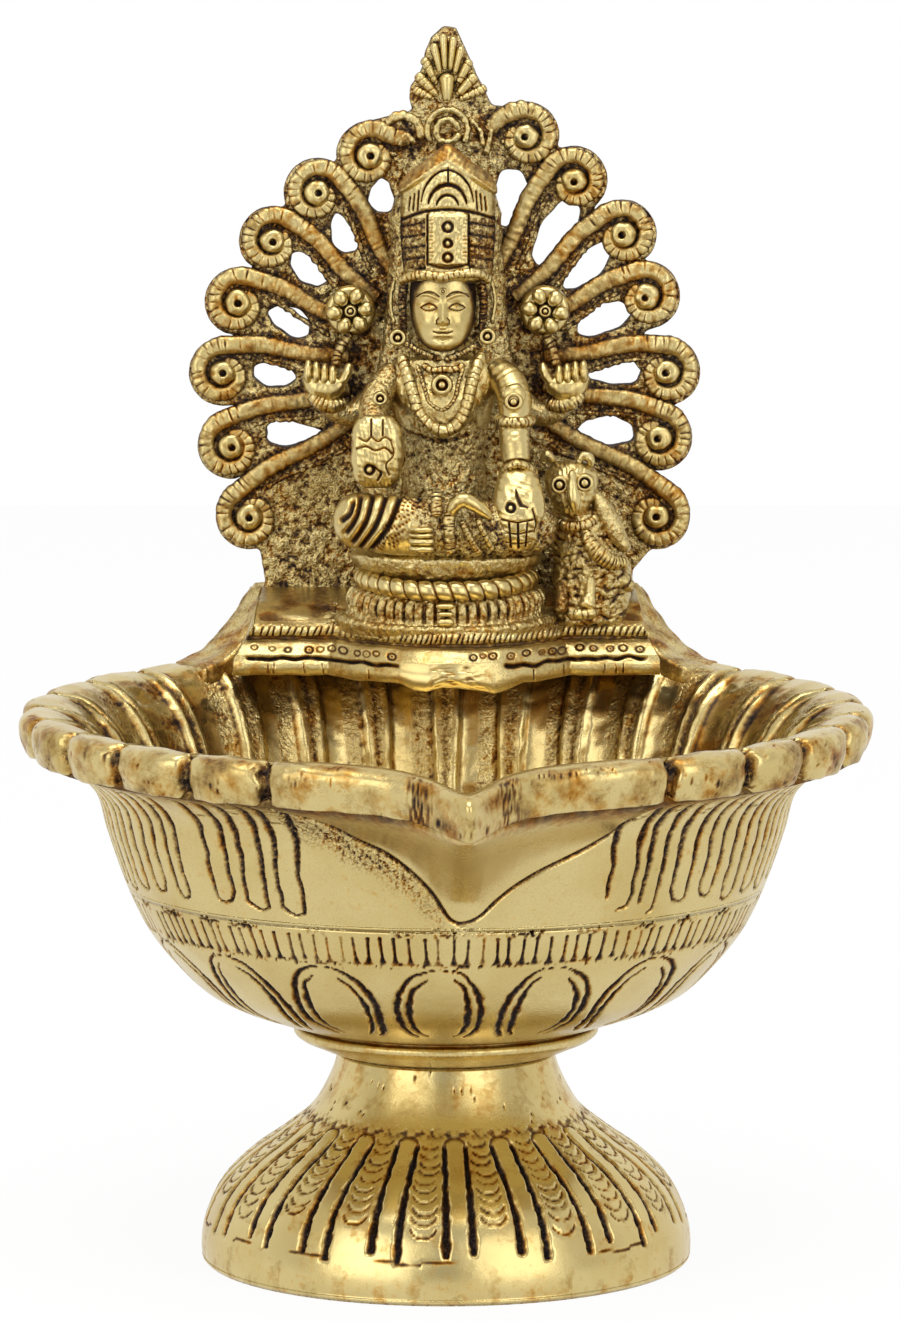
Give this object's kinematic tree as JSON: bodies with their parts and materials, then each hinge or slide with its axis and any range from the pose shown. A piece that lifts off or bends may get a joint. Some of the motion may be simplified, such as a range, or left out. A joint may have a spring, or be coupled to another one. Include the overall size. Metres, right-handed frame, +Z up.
{
  "type": "brass lakshmi lamp",
  "caption": "Brass oil lamp: fluted bowl with a pouring spout on a bell-shaped foot, a seated four-armed goddess on a ledge and an openwork halo behind.",
  "frame": {"origin": "middle of the lamp's bounding box, on the plane that the foot stands on", "axes": "+Z up; the spout and the goddess face -Y; +X to the viewer's right"},
  "size_m": [0.1283, 0.1426, 0.1842],
  "materials": {
    "foot_brass": "polished cast brass with dark patina in the chased grooves",
    "stud_brass": "plain turned and threaded brass",
    "bowl_brass": "polished cast brass, darkened in the engraved lines",
    "ledge_brass": "antiqued cast brass, rubbed bright on the edges",
    "halo_brass": "antiqued cast brass, dark recesses and bright rubbed ribs",
    "seat_brass": "antiqued cast brass",
    "figure_brass": "antiqued cast brass, dark recesses and bright rubbed high points",
    "owl_brass": "antiqued cast brass",
    "rivet_brass": "hammered brass rivet heads"
  },
  "bodies": {
    "foot": {"foot": "foot_brass"},
    "stud": {"threaded_stud": "stud_brass"},
    "bowl": {"bowl": "bowl_brass", "ledge": "ledge_brass", "halo": "halo_brass", "lotus_seat": "seat_brass", "goddess": "figure_brass", "owl": "owl_brass", "rivet_left": "rivet_brass", "rivet_right": "rivet_brass"}
  },
  "joints": [
    {"name": "stud_lift", "type": "slide", "parent": "foot", "child": "stud", "axis": [0, 0, 1], "range_m": [0, 0.009]},
    {"name": "bowl_turn", "type": "hinge", "parent": "stud", "child": "bowl", "pos_m": [0, 0.0072, 0.0315], "axis": [0, 0, 1], "range_deg": [0, 2160]}
  ],
  "couplings": [
    {"joint": "stud_lift", "follows": "bowl_turn", "m_per_rad": 0.00023873}
  ]
}
